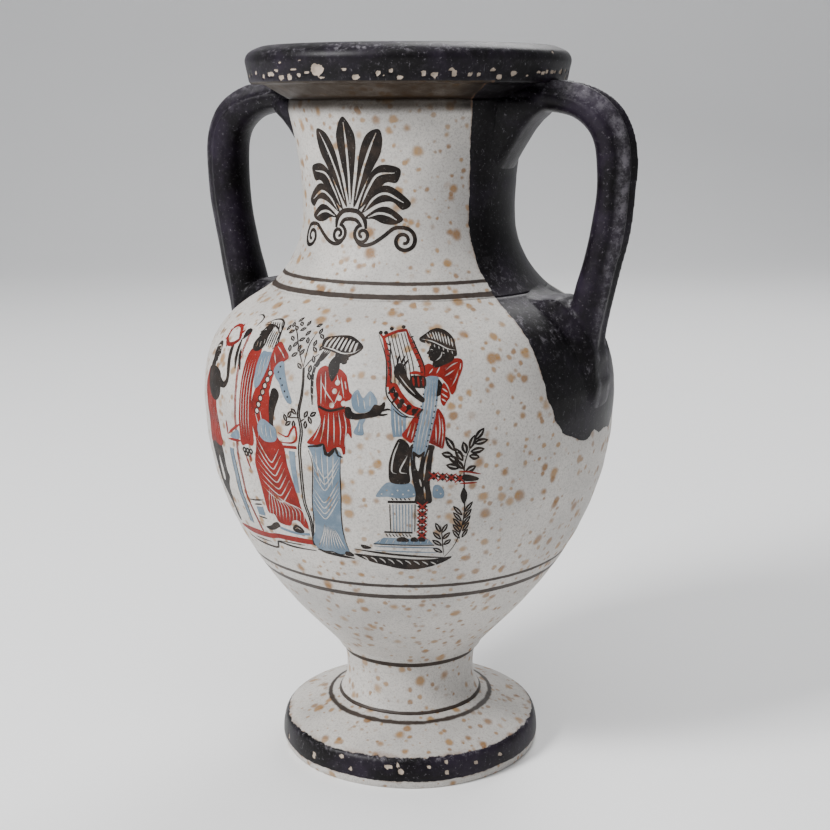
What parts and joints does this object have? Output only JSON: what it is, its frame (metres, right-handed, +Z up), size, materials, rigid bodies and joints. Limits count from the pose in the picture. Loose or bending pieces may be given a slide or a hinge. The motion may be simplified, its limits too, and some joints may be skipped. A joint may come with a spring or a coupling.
{
  "type": "amphora",
  "caption": "Two-handled neck amphora on a stemmed foot, painted with draped figures and a palmette, that stands as an open vase.",
  "frame": {"origin": "centre of the foot's resting ring, on the surface that the vase stands on", "axes": "+Z up the vase's axis, the two handles along +X and -X, the painted front towards -Y"},
  "size_m": [0.1806, 0.162, 0.28],
  "materials": {
    "cream_slip": "satin cream slip with brown speckles",
    "black_glaze": "worn semi-gloss purple-black glaze",
    "black_paint": "satin brown-black brushwork",
    "red_paint": "satin red brushwork",
    "blue_paint": "satin pale blue brushwork"
  },
  "bodies": {
    "root": {"mouth_ring": "black_glaze", "neck": "cream_slip", "body": "cream_slip", "stem": "cream_slip", "foot_disc": "cream_slip", "left_handle": "black_glaze", "left_handle_saddle": "black_glaze", "left_handle_pad": "black_glaze", "right_handle": "black_glaze", "right_handle_saddle": "black_glaze", "right_handle_pad": "black_glaze"}
  },
  "joints": []
}
